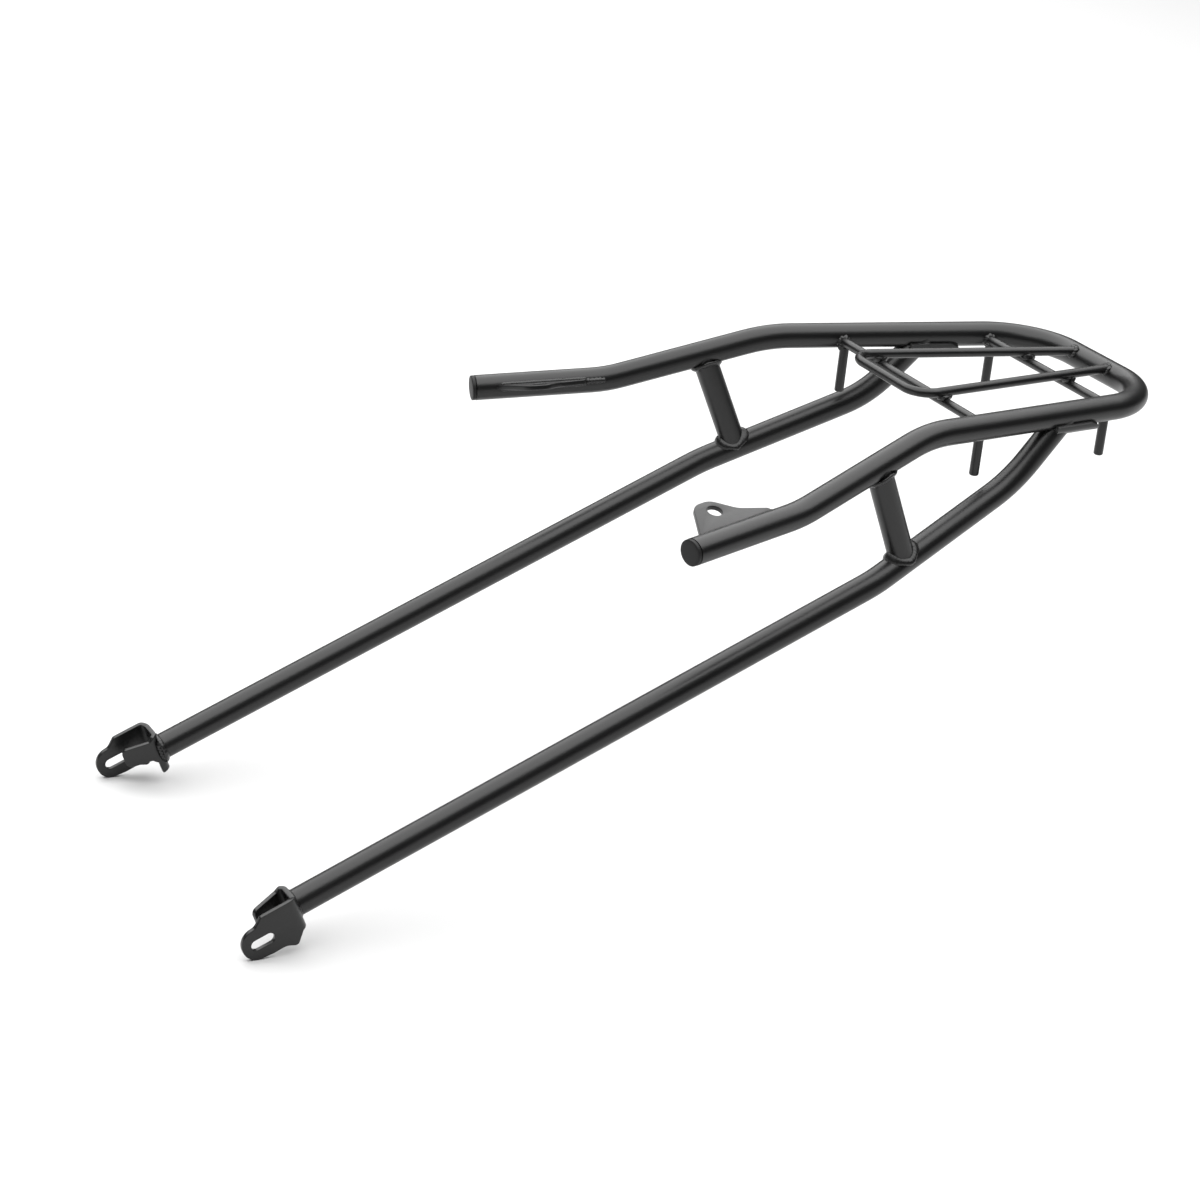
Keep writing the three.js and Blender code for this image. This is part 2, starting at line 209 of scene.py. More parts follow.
def powder_coat():
    """Satin black powder coat: fine orange peel, slightly uneven gloss, thin greyer film here and there."""
    coat = Finish("satin_black_powder_coat")
    cloud = coat.grain(22.0, 3.0)
    peel = coat.grain(620.0, 2.0, 0.55)
    speck = coat.grain(2600.0, 1.0, 0.4)
    color = coat.mix(cloud, (0.0022, 0.0022, 0.0023, 1), (0.0042, 0.0042, 0.0043, 1))
    roughness = 0.27 + cloud * 0.08 + speck * 0.06
    height = peel * 0.6 + speck * 0.4
    normal = coat.add("ShaderNodeBump", None, {"Strength": 0.4, "Distance": 0.00014, "Height": height})
    return coat.finish(Base_Color=color, Roughness=roughness, Normal=normal, Specular_IOR_Level=0.5)


def weld_coat():
    """The same coat where it runs thicker over the welds, a little glossier."""
    coat = Finish("powder_coat_over_weld")
    cloud = coat.grain(60.0, 3.0)
    peel = coat.grain(420.0, 3.0, 0.6)
    color = coat.mix(cloud, (0.0035, 0.0035, 0.0036, 1), (0.0070, 0.0070, 0.0071, 1))
    roughness = 0.27 + cloud * 0.12
    normal = coat.add("ShaderNodeBump", None, {"Strength": 0.3, "Distance": 0.0003, "Height": peel})
    return coat.finish(Base_Color=color, Roughness=roughness, Normal=normal)


def cap_plastic():
    """Moulded black plastic with a fine spark-eroded texture."""
    plastic = Finish("moulded_black_plastic")
    cloud = plastic.grain(45.0, 2.0)
    spark = plastic.grain(1900.0, 2.0, 0.6)
    color = plastic.mix(cloud, (0.0040, 0.0040, 0.0042, 1), (0.0065, 0.0065, 0.0067, 1))
    roughness = 0.46 + spark * 0.12
    normal = plastic.add("ShaderNodeBump", None, {"Strength": 0.25, "Distance": 0.00008, "Height": spark})
    return plastic.finish(Base_Color=color, Roughness=roughness, Normal=normal, Specular_IOR_Level=0.3)


coat_material = powder_coat()
weld_material = weld_coat()
plastic_material = cap_plastic()


# ------------------------------------------------------------------ modelling helpers

def all_clear():
    """Leaves edit mode and deselects everything."""
    if bpy.context.object and bpy.context.object.mode != "OBJECT":
        bpy.ops.object.mode_set(mode="OBJECT")
    bpy.ops.object.select_all(action="DESELECT")


def pick(piece):
    all_clear()
    piece.select_set(True)
    bpy.context.view_layer.objects.active = piece


def apply_place(piece):
    pick(piece)
    bpy.ops.object.transform_apply(location=True, rotation=True, scale=True)


def edit(piece):
    pick(piece)
    bpy.ops.object.mode_set(mode="EDIT")
    bpy.ops.mesh.select_mode(type="VERT")


def select_where(piece, test, kind="verts"):
    """In edit mode, selects the vertices, edges or faces whose middle passes the test, and no others."""
    mode = {"verts": "VERT", "edges": "EDGE", "faces": "FACE"}[kind]
    bpy.ops.mesh.select_mode(type=mode)
    bpy.ops.mesh.select_all(action="DESELECT")
    mesh = bmesh.from_edit_mesh(piece.data)
    for item in getattr(mesh, kind):
        if kind == "verts":
            middle = item.co
        elif kind == "edges":
            middle = (item.verts[0].co + item.verts[1].co) / 2
        else:
            middle = item.calc_center_median()
        if test(middle):
            item.select_set(True)
    mesh.select_flush_mode()
    bmesh.update_edit_mesh(piece.data)


def outward_normals(piece):
    edit(piece)
    bpy.ops.mesh.select_all(action="SELECT")
    bpy.ops.mesh.remove_doubles(threshold=0.002 * mm)
    bpy.ops.mesh.normals_make_consistent(inside=False)
    bpy.ops.object.mode_set(mode="OBJECT")


def finished(piece, name, material, smooth_angle=35, replaces=()):
    """Names the piece, shades it, gives it its finish and hangs it on the rack."""
    piece.name = name
    piece.data.name = name
    pick(piece)
    bpy.ops.object.shade_smooth_by_angle(angle=radians(smooth_angle))
    piece.data.materials.clear()
    piece.data.materials.append(material)
    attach(piece, "root")
    if replaces:
        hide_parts(*replaces)
    return piece


def cut_away(piece, cutter):
    pick(piece)
    cut = piece.modifiers.new("cope", "BOOLEAN")
    cut.operation = "DIFFERENCE"
    cut.solver = "EXACT"
    cut.object = cutter
    bpy.ops.object.modifier_apply(modifier=cut.name)


def join_solid(piece, other):
    pick(piece)
    weld = piece.modifiers.new("join", "BOOLEAN")
    weld.operation = "UNION"
    weld.solver = "EXACT"
    weld.object = other
    bpy.ops.object.modifier_apply(modifier=weld.name)
    bpy.data.objects.remove(other)


def bent_bar(corners, bends, radius, sides, step=3.0):
    """A circle at the first corner, extruded along each straight and spun round each bend, ends closed."""
    way = (corners[1] - corners[0]).normalized()
    turned = way.to_track_quat("Z", "Y").to_euler()
    all_clear()
    bpy.ops.mesh.primitive_circle_add(vertices=sides, radius=radius, location=corners[0], rotation=turned)
    bar = bpy.context.object
    apply_place(bar)
    edit(bar)
    bpy.ops.mesh.select_all(action="SELECT")
    here = corners[0]
    for corner, after, bend in zip(corners[1:-1], corners[2:], bends):
        onward = (after - corner).normalized()
        turn = way.angle(onward)
        setback = bend * tan(turn / 2)
        start = corner - way * setback
        bpy.ops.mesh.extrude_region_move(TRANSFORM_OT_translate={"value": start - here})
        inward = (onward - way * way.dot(onward)).normalized()
        axis = way.cross(onward).normalized()
        count = max(4, round(turn / radians(step)))
        bpy.ops.mesh.spin(steps=count, angle=-turn, center=start + inward * bend, axis=axis)
        here = corner + onward * setback
        way = onward
    bpy.ops.mesh.extrude_region_move(TRANSFORM_OT_translate={"value": corners[-1] - here})
    bpy.ops.mesh.edge_face_add()
    first = corners[0]
    first_way = (corners[1] - corners[0]).normalized()
    ring = 1.01 * radius
    select_where(bar, lambda p: (p - first).length < ring and abs((p - first).dot(first_way)) < 0.01 * mm)
    bpy.ops.mesh.edge_face_add()
    outward_normals(bar)
    return bar


def round_ends(bar, ends, offset, segments=3):
    """Bevels the rim of each end face."""
    edit(bar)
    for end, way, radius in ends:
        near = 1.02 * radius
        select_where(bar, lambda p: (p - end).length < near and abs((p - end).dot(way)) < 0.02 * mm, "edges")
        bpy.ops.mesh.bevel(offset=offset, segments=segments, affect="EDGES")
    bpy.ops.object.mode_set(mode="OBJECT")


def bore_end(bar, end, way, radius, wall, depth):
    """Insets an end face by the wall and sinks it, so that the tube's bore shows."""
    edit(bar)
    select_where(bar, lambda p: (p - end).length < 0.3 * radius, "faces")
    bpy.ops.mesh.inset(thickness=wall)
    bpy.ops.mesh.extrude_region_move(TRANSFORM_OT_translate={"value": way * depth})
    bpy.ops.object.mode_set(mode="OBJECT")


# ------------------------------------------------------------------ tubes

def hoop():
    """The one long tube: two arms, two sides and the rear bar, with open ends for the caps."""
    tube_end = arm_tip - arm_forward * (cap_flange + cap_gap)
    half = [tube_end, arm_bend, shoulder, rear_corner]
    corners = half + [sided(p, -1) for p in reversed(half)]
    bends = [arm_bend_radius, arm_bend_radius, corner_radius]
    bar = bent_bar(corners, bends + bends[::-1], tube_radius, 64)
    for side in (1, -1):
        way = -sided(arm_forward, side)
        bore_end(bar, sided(tube_end, side), way, tube_radius, tube_wall, 20 * mm)
    outward_normals(bar)
    return finished(bar, "hoop", coat_material, replaces=["hoop_tube"])


def stay(side, hoop_piece):
    """A tube from the axle bracket up to the hoop, its crimped end cupped round the hoop."""
    tube_end = stay_foot + down_stay * bracket_back
    corners = [sided(p, side) for p in (tube_end, lower_bend, knee, landing)]
    bar = bent_bar(corners, [stay_bend_radius, stay_bend_radius], tube_radius, 64)
    join_solid(bar, tongue(side))
    cut_away(bar, hoop_piece)
    outward_normals(bar)
    name = f"{side_names[side]}_stay"
    return finished(bar, f"{name}_tube", coat_material, replaces=[name])


def tongue(side):
    """The stay's crimped end: a half pipe that cups the hoop from below, its corners rounded."""
    reach = 24 * mm
    overlap = 12 * mm
    thickness = 3.6 * mm
    half_angle = radians(64)
    corner = 7 * mm
    steps = 24
    lip_from = 0.8
    lip_width = 0.2
    lip_thinning = 0.35
    rearwards = rearwards_on(side)
    sideways = Vector((0, 0, 1)).cross(rearwards)
    start = sided(Vector((landing_x, hoop_half_width(landing_x), deck_z)), side) - rearwards * overlap
    all_clear()
    bpy.ops.mesh.primitive_grid_add(x_subdivisions=20, y_subdivisions=steps, size=1, location=(0, 0, 0))
    cup = bpy.context.object
    edit(cup)
    bpy.ops.mesh.select_all(action="SELECT")
    bpy.ops.mesh.extrude_region_move(TRANSFORM_OT_translate={"value": (0, 0, 1)})
    bpy.ops.object.mode_set(mode="OBJECT")
    inner = tube_radius - 0.4 * mm
    outer = tube_radius + thickness
    length = reach + overlap
    half_round = outer * half_angle
    for vertex in cup.data.vertices:
        along = (vertex.co.x + 0.5) * length
        across = vertex.co.y * 2
        edge = max(0.0, half_round * abs(across) - (half_round - corner))
        room = corner - sqrt(max(0.0, corner * corner - edge * edge))
        along = along * (length - room) / length
        angle = across * half_angle
        lip = 1 - lip_thinning * max(0.0, abs(across) - lip_from) / lip_width
        radius = inner + (outer - inner) * lip if vertex.co.z > 0.5 else inner
        spot = start + rearwards * along + sideways * (radius * sin(angle))
        vertex.co = spot - Vector((0, 0, radius * cos(angle)))
    outward_normals(cup)
    return cup


def strut(side, hoop_piece, stay_piece):
    """A short tube between the arm and the stay, coped to both."""
    ends = [sided(strut_top, side), sided(strut_foot, side)]
    bar = bent_bar(ends, [], tube_radius, 64)
    cut_away(bar, hoop_piece)
    cut_away(bar, stay_piece)
    outward_normals(bar)
    name = f"{side_names[side]}_strut"
    return finished(bar, f"{name}_tube", coat_material, replaces=[name])


# ------------------------------------------------------------------ rods

def cross_rod(name, x, hoop_piece):
    """A rod from one side of the hoop to the other, coped to both."""
    end = Vector((x, hoop_half_width(x), rod_z))
    bar = bent_bar([sided(end, -1), end], [], rod_radius, 32)
    cut_away(bar, hoop_piece)
    outward_normals(bar)
    return finished(bar, f"{name}_bar", coat_material, replaces=[name])


def rail(hoop_piece):
    """A rod bent to a U on top of the cross rods, its two ends coped to the rear bar."""
    rear = Vector((rear_bar_x, rail_leg(rear_bar_x), rail_z))
    front = Vector((rail_front_x, rail_leg(rail_front_x), rail_z))
    corners = [rear, front, sided(front, -1), sided(rear, -1)]
    bar = bent_bar(corners, [rail_corner_radius] * 2, rod_radius, 32)
    cut_away(bar, hoop_piece)
    outward_normals(bar)
    return finished(bar, "rail", coat_material, replaces=["deck_rail"])


def peg(name, x, side):
    """A short upright rod under a cross rod, with a rounded foot."""
    top = Vector((x, side * peg_y(x), peg_high.z))
    foot = Vector((top.x, top.y, peg_low.z))
    bar = bent_bar([foot, top], [], rod_radius, 32)
    round_ends(bar, [(foot, Vector((0, 0, 1)), rod_radius)], 1.1 * mm, 4)
    return finished(bar, f"{name}_rod", coat_material, replaces=[name])


# ------------------------------------------------------------------ end caps

def end_cap(side):
    """A plug: a rim with a soft edge and a low dome, and a thin stub inside the tube.

    Known fault: the rim is so thin that both its faces pass the first test and are raised together. The stem
    comes out as a stub, and the plug's faces point inwards.
    """
    stem_radius = tube_radius - tube_wall - 0.3 * mm
    stem_wall = 1.8 * mm
    stem_length = 14 * mm
    stem_hollow = 13 * mm
    dome_steps = ((0.22, 0.22), (0.45, 0.14), (0.9, 0.12), (1.8, 0.08), (2.6, 0.04))
    out = sided(arm_forward, side)
    tip = sided(arm_tip, side)
    rim = tube_radius - 0.15 * mm
    seat = tip - out * cap_flange
    all_clear()
    turned = out.to_track_quat("Z", "Y").to_euler()
    middle = (tip + seat) / 2 - out * 0.3 * mm
    depth = cap_flange - 0.6 * mm
    bpy.ops.mesh.primitive_cylinder_add(
        vertices=64, radius=rim, depth=depth, location=middle, rotation=turned)
    cap = bpy.context.object
    apply_place(cap)
    face_out = middle + out * depth / 2
    face_in = middle - out * depth / 2
    edit(cap)
    select_where(cap, lambda p: (p - face_out).length < 0.3 * rim, "faces")
    for inset, rise in dome_steps:
        bpy.ops.mesh.inset(thickness=inset * mm)
        bpy.ops.transform.translate(value=out * rise * mm)
    select_where(cap, lambda p: (p - face_in).length < 0.3 * rim, "faces")
    bpy.ops.mesh.inset(thickness=rim - stem_radius)
    bpy.ops.mesh.extrude_region_move(TRANSFORM_OT_translate={"value": -out * stem_length})
    bpy.ops.mesh.inset(thickness=stem_wall)
    bpy.ops.mesh.extrude_region_move(TRANSFORM_OT_translate={"value": out * stem_hollow})
    outward_normals(cap)
    name = f"{side_names[side]}_end_cap"
    return finished(cap, f"{name}_plug", plastic_material, replaces=[name])


# ------------------------------------------------------------------ plates

def rounded(corners, step=9.0):
    """A closed outline from corners (x, y, radius), in millimetres, with each round as an arc."""
    flat = [Vector((x, y)) for x, y, _ in corners]
    points = []
    for i, (_, _, radius) in enumerate(corners):
        here = flat[i]
        into = (here - flat[i - 1]).normalized()
        onward = (flat[(i + 1) % len(flat)] - here).normalized()
        turn = into.angle(onward)
        if radius == 0 or turn < 0.001:
            points.append(here)
            continue
        start = here - into * radius * tan(turn / 2)
        inward = (onward - into * into.dot(onward)).normalized()
        count = max(2, round(turn / radians(step)))
        for k in range(count + 1):
            angle = turn * k / count
            points.append(start + into * (radius * sin(angle)) + inward * (radius * (1 - cos(angle))))
    return points


def circle_outline(x, y, radius, count=40):
    turns = [2 * pi * k / count for k in range(count)]
    return [Vector((x + radius * cos(turn), y + radius * sin(turn))) for turn in turns]


def flat_plate(outlines, edge_round):
    """A sheet from its outlines, holes included, with softly rounded edges, as a mesh in millimetres."""
    curve = bpy.data.curves.new("plate", "CURVE")
    curve.dimensions = "2D"
    curve.fill_mode = "BOTH"
    for outline in outlines:
        spline = curve.splines.new("POLY")
        spline.points.add(len(outline) - 1)
        for point, spot in zip(spline.points, outline):
            point.co = (spot.x, spot.y, 0, 1)
        spline.use_cyclic_u = True
    thick = sheet / mm
    curve.extrude = thick / 2 - edge_round
    curve.bevel_depth = edge_round
    curve.bevel_resolution = 2
    curve.offset = -edge_round
    plate = bpy.data.objects.new("plate", curve)
    bpy.context.collection.objects.link(plate)
    pick(plate)
    bpy.ops.object.convert(target="MESH")
    plate = bpy.context.object
    edit(plate)
    bpy.ops.mesh.select_all(action="SELECT")
    bpy.ops.mesh.remove_doubles(threshold=0.002)
    bpy.ops.mesh.normals_make_consistent(inside=False)
    bpy.ops.object.mode_set(mode="OBJECT")
    return plate


def tab_directions():
    """Rearwards along the arm, inwards in the tab's plane, and square to the tab."""
    along = -arm_forward
    level = Vector((0, -1, 0))
    level = (level - along * level.dot(along)).normalized()
    inward = Matrix.Rotation(-tab_tilt, 3, along) @ level
    return along, inward, along.cross(inward)


def arm_tab(side):
    """A flat plate with one hole, cut off at an angle behind, along the inner side of the arm."""
    along, inward, normal = tab_directions()
    hole = circle_outline(40, 23, 4.5)
    outline = rounded([
        (14.5, 6.5, 0),
        (31.1, 32.3, 9),
        (43.5, 32.3, 9),
        (54.8, 19.4, 14),
        (72, 12, 3),
        (74, 6.5, 0),
    ])
    plate = flat_plate([outline, hole], 0.45)
    place = Matrix((along, inward, normal)).transposed().to_4x4()
    place.translation = arm_tip
    flip = Matrix.Diagonal((1, side, 1, 1))
    plate.data.transform(flip @ place @ Matrix.Scale(mm, 4))
    outward_normals(plate)
    name = f"{side_names[side]}_arm_tab"
    return finished(plate, f"{name}_plate", coat_material, 40, [name])


def folded(s, bend, wall_at, plate_out, flange_turn, flange_bend_s):
    """Where the flat sheet's station s lies once it is folded: (along, out) and the outward normal."""
    quarter = bend * pi / 2
    straight = wall_at + bend
    if s >= straight:
        return Vector((s, plate_out)), Vector((0, 1))
    if s >= straight - quarter:
        angle = (straight - s) / bend
        normal = Vector((-sin(angle), cos(angle)))
        return Vector((straight, plate_out - bend)) + normal * bend, normal
    wall_s = straight - quarter
    if s >= flange_bend_s:
        return Vector((wall_at, plate_out - bend - (wall_s - s))), Vector((-1, 0))
    end_out = plate_out - bend - (wall_s - flange_bend_s)
    angle = min((flange_bend_s - s) / bend, flange_turn)
    normal = Vector((-cos(angle), -sin(angle)))
    spot = Vector((wall_at + bend, end_out)) + normal * bend
    rest = flange_bend_s - s - bend * flange_turn
    if rest > 0:
        spot += Vector((sin(flange_turn), -cos(flange_turn))) * rest
    return spot, normal


def axle_bracket(side):
    """A flat slotted blank with rounded edges, folded at two bends round the foot of the stay."""
    bend = 4.5
    half_sheet = sheet / mm / 2
    wall_at = bracket_back / mm + half_sheet
    plate_out = 14.2
    flange_turn = radians(109.8)
    wall_s = wall_at + bend - bend * pi / 2
    inner_corner = -tube_radius / mm + half_sheet
    flange_bend_s = wall_s - (plate_out - bend - (inner_corner + bend * tan(flange_turn / 2)))
    flange_s = flange_bend_s - bend * flange_turn
    front_s = flange_s - 17.2
    blank = rounded([
        (front_s, 10, 3.5),
        (flange_bend_s - 7.6, 10, 1.5),
        (flange_bend_s - 5, 12, 1.5),
        (wall_s + 1, 12, 2),
        (wall_s + 5, 13.5, 2),
        (26.3, 13.5, 2.5),
        (31.8, 8.6, 5),
        (42.9, 8.3, 9.4),
        (42.9, -10.5, 9.4),
        (27, -12.1, 6),
        (19, -11.9, 8),
        (12.8, -15.5, 2.5),
        (8.6, -10.2, 1.2),
        (7.4, -8.6, 0.8),
        (flange_bend_s - 0.9, -8.6, 0.6),
        (flange_bend_s - 0.9, -14, 0.7),
        (flange_bend_s - 7.0, -14, 0.7),
        (flange_bend_s - 7.0, -6, 0.8),
        (flange_s - 1, -3, 2.0),
        (front_s, -3, 4.0),
    ])
    slot_half = 14.5 / 2
    slot_wide = 6.4 / 2
    slot_x = slot_along / mm
    slot_y = slot_rise / mm
    slot = rounded([
        (slot_x - slot_half, slot_y - slot_wide, slot_wide - 0.01),
        (slot_x + slot_half, slot_y - slot_wide, slot_wide - 0.01),
        (slot_x + slot_half, slot_y + slot_wide, slot_wide - 0.01),
        (slot_x - slot_half, slot_y + slot_wide, slot_wide - 0.01),
    ])
    plate = flat_plate([blank, slot], 0.5)
    edit(plate)
    cuts = [wall_at + bend - bend * pi / 2 * k / 10 for k in range(11)]
    cuts += [flange_bend_s - bend * flange_turn * k / 12 for k in range(13)]
    for cut in cuts:
        bpy.ops.mesh.select_all(action="SELECT")
        bpy.ops.mesh.bisect(plane_co=(cut, 0, 0), plane_no=(1, 0, 0))
    bpy.ops.object.mode_set(mode="OBJECT")
    for vertex in plate.data.vertices:
        s, rise, depth = vertex.co
        spot, normal = folded(s, bend, wall_at, plate_out, flange_turn, flange_bend_s)
        spot = spot + normal * depth
        place = stay_foot + down_stay * (spot.x * mm) + above_stay * (rise * mm)
        vertex.co = sided(place + Vector((0, spot.y * mm, 0)), side)
    outward_normals(plate)
    name = f"{side_names[side]}_axle_bracket"
    return finished(plate, f"{name}_sheet", coat_material, 40, [name])


# ------------------------------------------------------------------ welds

def reach(point, way, axis_point, axis, radius):
    """How far along its way a point meets a cylinder from outside it, going towards its axis."""
    offset = point - axis_point
    a = way - axis * way.dot(axis)
    b = offset - axis * offset.dot(axis)
    half = a.dot(b)
    inside = half * half - a.dot(a) * (b.dot(b) - radius * radius)
    return (-half - sqrt(max(0.0, inside))) / a.dot(a)


def lumpy(angle, seed, ripples, ripple=0.045, swell=0.22):
    wave = ripple * sin(angle * ripples + 1.3 * sin(3 * angle + seed))
    return 1 + wave + swell * noise.noise(Vector((2.2 * cos(angle), 2.2 * sin(angle), 7.1 * seed)))


def ring_weld(name, foot, way, radius, bead, seed, ripples, axis_point=None, axis=None, other=0.0, swell=0.22,
              flare=0.0):
    """A weld bead round a bar that runs from foot along way into a tube, or onto a flat wall at foot."""
    seat = 0.12 * bead
    most_climb = 6 * mm
    flattening = 0.35
    spreading = 0.25
    turned = way.to_track_quat("Z", "Y")
    all_clear()
    bpy.ops.mesh.primitive_torus_add(
        major_segments=112, minor_segments=14, major_radius=radius + seat, minor_radius=bead,
        location=foot, rotation=turned.to_euler())
    ring = bpy.context.object
    apply_place(ring)
    across = turned @ Vector((1, 0, 0))
    up = turned @ Vector((0, 1, 0))
    lowest = 0.0
    if axis is not None:
        turns = [pi * k / 36 for k in range(72)]
        spots = [foot + (across * cos(turn) + up * sin(turn)) * (radius + seat) for turn in turns]
        lowest = min(reach(spot, way, axis_point, axis, other + seat) for spot in spots)
    for vertex in ring.data.vertices:
        local = vertex.co - foot
        angle = atan2(local.dot(up), local.dot(across))
        spoke = across * cos(angle) + up * sin(angle)
        middle = foot + spoke * (radius + seat)
        run = 0.0
        size = lumpy(angle, seed, ripples, swell=swell)
        if axis is not None:
            climb = reach(middle, way, axis_point, axis, other + seat) - lowest
            run = lowest + most_climb * (1 - exp(-climb / most_climb))
            size += flare * spoke.dot(axis) ** 4
        section = local - spoke * (radius + seat)
        grit = 0.08 * bead * noise.noise((vertex.co + Vector((seed, 0, 0))) * 900)
        section = section * size + section.normalized() * grit
        proud = (spoke - way).normalized()
        lying = (spoke + way).normalized()
        flattened = section - proud * (flattening * section.dot(proud))
        section = flattened + lying * (spreading * section.dot(lying))
        vertex.co = middle + way * run + section
        vertex.co.z = min(vertex.co.z, hoop_high.z - 0.1 * mm)
    return finished(ring, name, weld_material, 80)


def lump(name, middle, size, seed, rough=0.12, tilt=0.0):
    """An uneven blob of weld."""
    all_clear()
    bpy.ops.mesh.primitive_ico_sphere_add(subdivisions=4, radius=1, location=(0, 0, 0))
    blob = bpy.context.object
    turn = Matrix.Rotation(tilt, 3, "Z")
    for vertex in blob.data.vertices:
        way = vertex.co.normalized()
        swell = 1 + rough * noise.noise(way * 1.7 + Vector((seed * 5.3, 0, 0)))
        swell += 0.4 * rough * noise.noise(way * 5 + Vector((0, seed * 3.1, 0)))
        vertex.co = middle + turn @ Vector((way.x * size[0], way.y * size[1], way.z * size[2])) * swell
    return finished(blob, name, weld_material, 80)


def bead_line(name, points, outward, radius, seed, spacing=1.6 * mm):
    """A straight run of overlapping weld ripples between two points."""
    slice_length = 0.35 * mm
    start, end = points
    length = (end - start).length
    way = (end - start).normalized()
    all_clear()
    bpy.ops.mesh.primitive_cylinder_add(
        vertices=14, radius=radius, depth=length, location=(start + end) / 2,
        rotation=way.to_track_quat("Z", "Y").to_euler(), end_fill_type="TRIFAN")
    bead = bpy.context.object
    apply_place(bead)
    edit(bead)
    for k in range(1, int(length / slice_length)):
        bpy.ops.mesh.select_all(action="SELECT")
        bpy.ops.mesh.bisect(plane_co=start + way * (k * slice_length), plane_no=way)
    bpy.ops.object.mode_set(mode="OBJECT")
    for vertex in bead.data.vertices:
        along = (vertex.co - start).dot(way)
        middle = start + way * along
        section = vertex.co - middle
        end_room = min(along, length - along) / (1.5 * radius)
        taper = sqrt(max(0.0, 1 - (1 - min(1.0, end_room)) ** 2))
        wave = 0.10 * sin(2 * pi * along / spacing) + 0.2 * noise.noise(Vector((along * 260, seed, 0)))
        vertex.co = middle + section * (taper * (1 + wave)) + outward * (0.15 * radius * wave)
    outward_normals(bead)
    return finished(bead, name, weld_material, 80)


def strut_welds(side):
    """A ring at each end of the strut."""
    name = side_names[side]
    top = sided(strut_top, side)
    foot = sided(strut_foot, side)
    up = (top - foot).normalized()
    middle = (top + foot) / 2
    arm_axis = sided((shoulder - arm_bend).normalized(), side)
    stay_axis = sided((knee - lower_bend).normalized(), side)
    ring_weld(
        f"{name}_strut_top_weld", middle, up, tube_radius, bead=1.9 * mm, seed=1.0 + side, ripples=31,
        axis_point=top, axis=arm_axis, other=tube_radius, swell=0.3, flare=0.5)
    ring_weld(
        f"{name}_strut_foot_weld", middle, -up, tube_radius, bead=2.0 * mm, seed=4.0 + side, ripples=31,
        axis_point=foot, axis=stay_axis, other=tube_radius, swell=0.3, flare=0.95)


def stay_welds(side):
    """A ring and a bead where the bracket holds the stay, and a lump on each side of its top."""
    name = side_names[side]
    foot = sided(stay_foot + down_stay * bracket_back, side)
    down = sided(down_stay, side)
    ring_weld(f"{name}_stay_foot_weld", foot, down, tube_radius, bead=1.7 * mm, seed=8.0 + side, ripples=27)
    crook_depth = 4.9 * mm
    crook = stay_foot + down_stay * crook_depth - Vector((0, crook_depth, 0))
    ends = [sided(crook + above_stay * rise * mm, side) for rise in (-7, 7.5)]
    bead_line(f"{name}_bracket_bend_weld", ends, sided(-down_stay, side), 2.5 * mm, 60 + side, 2.4 * mm)
    rearwards = rearwards_on(side)
    sideways = Vector((0, 0, 1)).cross(rearwards)
    turn = atan2(rearwards.y, rearwards.x)
    under_hoop = sided(Vector((landing.x - 3 * mm, landing.y, deck_z - 5.6 * mm)), side)
    size = (9 * mm, 1.9 * mm, 2.3 * mm)
    for number, edge in ((1, 1), (2, -1)):
        crease = under_hoop + sideways * edge * 6.6 * mm
        lump(f"{name}_stay_top_weld_{number}", crease, size, 11.0 + side + edge, 0.25, turn)


def rod_welds():
    """At each end of a cross rod: a ring on the hoop, and lumps at the peg and under the rail."""
    for label, x, seed in (("front", front_rod_x, 20.0), ("rear", rear_rod_x, 26.0)):
        for side in (1, -1):
            name = f"{side_names[side]}_{label}"
            on_axis = Vector((x, side * hoop_half_width(x), deck_z))
            start = Vector((x, side * 40 * mm, rod_z))
            ring_weld(
                f"{name}_rod_weld", start, Vector((0, side, 0)), rod_radius, bead=1.5 * mm, seed=seed + side,
                ripples=7, axis_point=on_axis, axis=rearwards_on(side), other=tube_radius, swell=0.7)
            corner = Vector((x, side * (peg_y(x) + 1.0 * mm), peg_high.z + 0.5 * mm))
            lump(f"{name}_peg_weld", corner, (4.2 * mm, 3.6 * mm, 2.6 * mm), seed + 2 * side, 0.3)
            leg = Vector((x, side * rail_leg(x), (rod_z + rail_z) / 2 + 0.2 * mm))
            lump(f"{name}_rail_weld", leg, (4.9 * mm, 3.9 * mm, 3.3 * mm), seed + 3 * side, 0.22)


def rail_end_welds():
    """A ring where each end of the rail meets the rear bar."""
    bar_axis = Vector((0, 1, 0))
    on_bar = Vector((rear_bar_x, 0, deck_z))
    for side in (1, -1):
        start = Vector((rear_rod_x, side * rail_leg(rear_rod_x), rail_z))
        ring_weld(
            f"{side_names[side]}_rail_end_weld", start, rearwards_on(side), rod_radius, bead=1.3 * mm,
            seed=33.0 + side, ripples=7, axis_point=on_bar, axis=bar_axis, other=tube_radius, swell=0.7)


def tab_welds(side):
    """Beads along both faces of the tab, and one past its rear end."""
    along, inward, normal = tab_directions()
    for label, face in (("upper", -1), ("lower", 1)):
        off_arm = inward * 8.1 * mm
        off_sheet = normal * face * 1.6 * mm
        ends = [sided(arm_tip + along * u * mm + off_arm + off_sheet, side) for u in (18, 73)]
        out = sided(normal * face, side)
        bead_line(f"{side_names[side]}_tab_{label}_weld", ends, out, 1.25 * mm, 40 + side + face)
    ends = [sided(arm_tip + along * u * mm + inward * 7.6 * mm, side) for u in (71, 86)]
    bead_line(f"{side_names[side]}_tab_end_weld", ends, sided(inward, side), 1.9 * mm, 50 + side, 2.6 * mm)


side_names = {1: "right", -1: "left"}

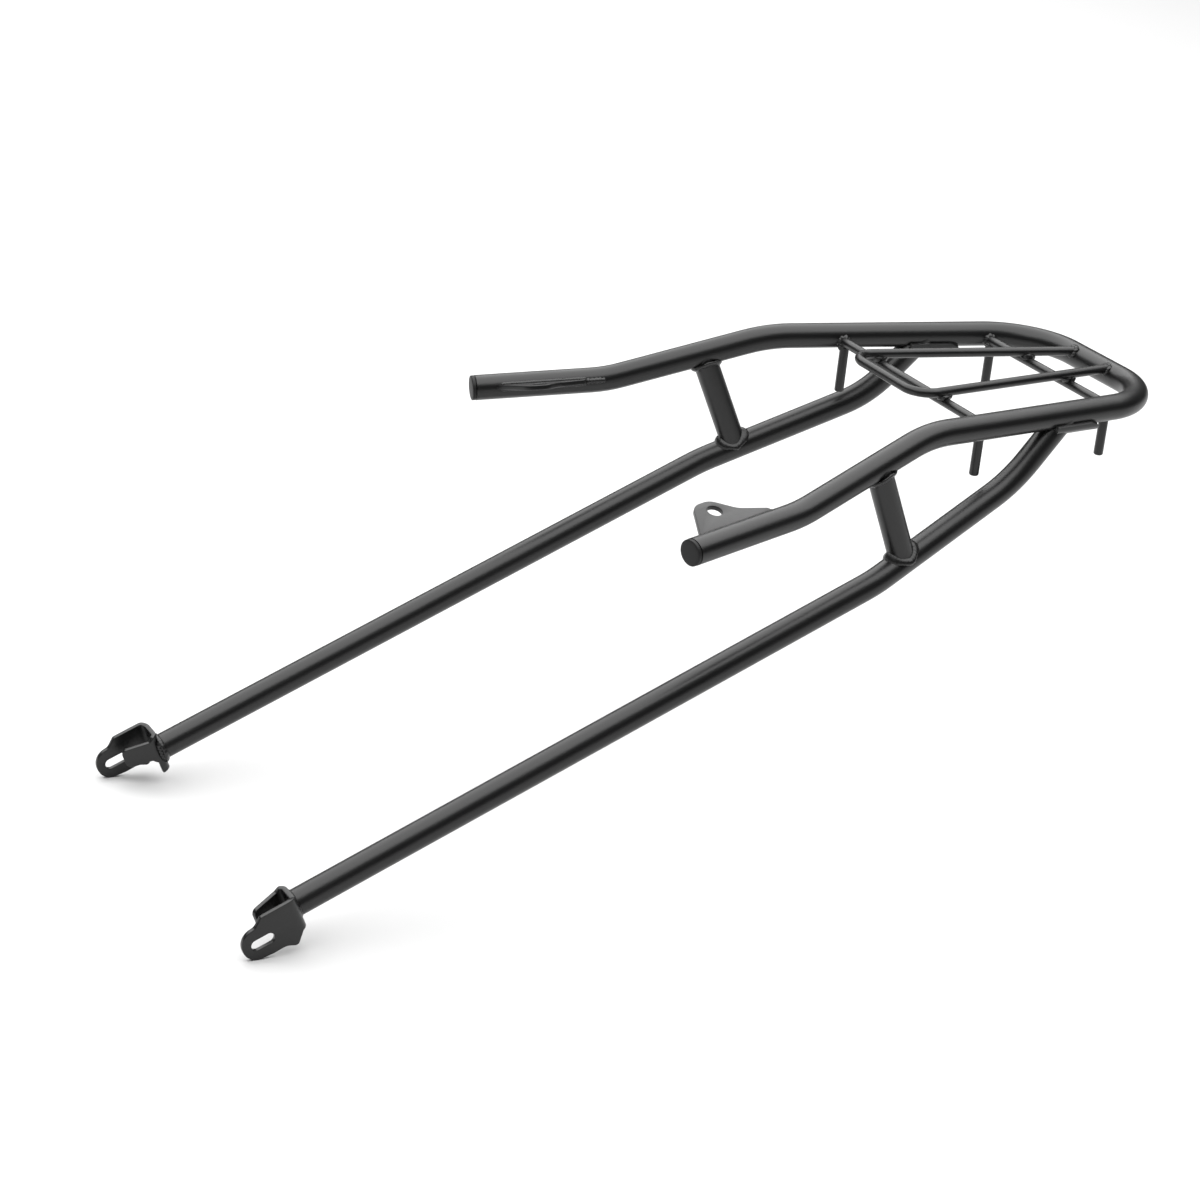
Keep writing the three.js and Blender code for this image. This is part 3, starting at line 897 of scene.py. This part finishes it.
hoop_piece = hoop()
for side in (1, -1):
    stay_piece = stay(side, hoop_piece)
    strut(side, hoop_piece, stay_piece)
    end_cap(side)
    arm_tab(side)
    axle_bracket(side)
    peg(f"{side_names[side]}_front_peg", front_rod_x, side)
    peg(f"{side_names[side]}_rear_peg", rear_rod_x, side)
    strut_welds(side)
    stay_welds(side)
    tab_welds(side)
cross_rod("front_cross_rod", front_rod_x, hoop_piece)
cross_rod("rear_cross_rod", rear_rod_x, hoop_piece)
rail(hoop_piece)
rod_welds()
rail_end_welds()


# ------------------------------------------------------------------ studio

def pale_floor():
    """A broad pale floor that the two bracket tips stand on."""
    just_under = cad_box[0][2] - 0.1 * mm
    floor_side = 14.0
    all_clear()
    bpy.ops.mesh.primitive_plane_add(size=floor_side, location=(0, 0, just_under))
    floor = bpy.context.object
    apply_place(floor)
    floor.name = "floor"
    paint = Finish("pale_floor")
    cloud = paint.grain(3.0, 2.0)
    color = paint.mix(cloud, (0.59, 0.59, 0.59, 1), (0.61, 0.61, 0.61, 1))
    floor.data.materials.append(paint.finish(Base_Color=color, Roughness=0.9))


def area_light(name, spot, width, height, power):
    """A rectangular light that shines straight down."""
    data = bpy.data.lights.new(name, "AREA")
    data.shape = "RECTANGLE"
    data.size = width
    data.size_y = height
    data.energy = power
    light = bpy.data.objects.new(name, data)
    light.location = spot
    bpy.context.collection.objects.link(light)
    return light


def room():
    """An even, dim room, with a paler backdrop that only the camera sees."""
    room_light = 0.07
    backdrop_light = 0.8
    world = bpy.data.worlds.new("studio")
    world.use_nodes = True
    nodes = world.node_tree.nodes
    links = world.node_tree.links
    nodes.clear()
    out = nodes.new("ShaderNodeOutputWorld")
    blend = nodes.new("ShaderNodeMixShader")
    seen = nodes.new("ShaderNodeLightPath")
    links.new(seen.outputs["Is Camera Ray"], blend.inputs[0])
    for socket, strength in ((1, room_light), (2, backdrop_light)):
        shade = nodes.new("ShaderNodeBackground")
        shade.inputs["Color"].default_value = (1, 1, 1, 1)
        shade.inputs["Strength"].default_value = strength
        links.new(shade.outputs[0], blend.inputs[socket])
    links.new(blend.outputs[0], out.inputs["Surface"])
    bpy.context.scene.world = world


def studio():
    pale_floor()
    area_light("overhead_softbox", Vector((0.2, 1.4, 2.3)), width=5.4, height=6.6, power=350)
    room()
    view = bpy.context.scene.view_settings
    view.view_transform = "Standard"
    view.look = "None"


def camera():
    """The eye, and the ways that are right, down and onward in its view."""
    spot = Vector((-633.498, -1564.167, 856.717)) * mm
    right = Vector((0.883039, -0.458909, 0.098210))
    down = Vector((-0.092674, -0.375663, -0.922111))
    onward = Vector((0.460059, 0.805158, -0.374254))
    data = bpy.data.cameras.new("camera")
    data.sensor_width = 36
    data.lens = 96
    data.clip_start = 0.05
    eye = bpy.data.objects.new("camera", data)
    turn = Matrix((right, -down, -onward)).transposed()
    eye.matrix_world = Matrix.Translation(spot) @ turn.to_4x4()
    bpy.context.collection.objects.link(eye)
    bpy.context.scene.camera = eye


studio()
camera()
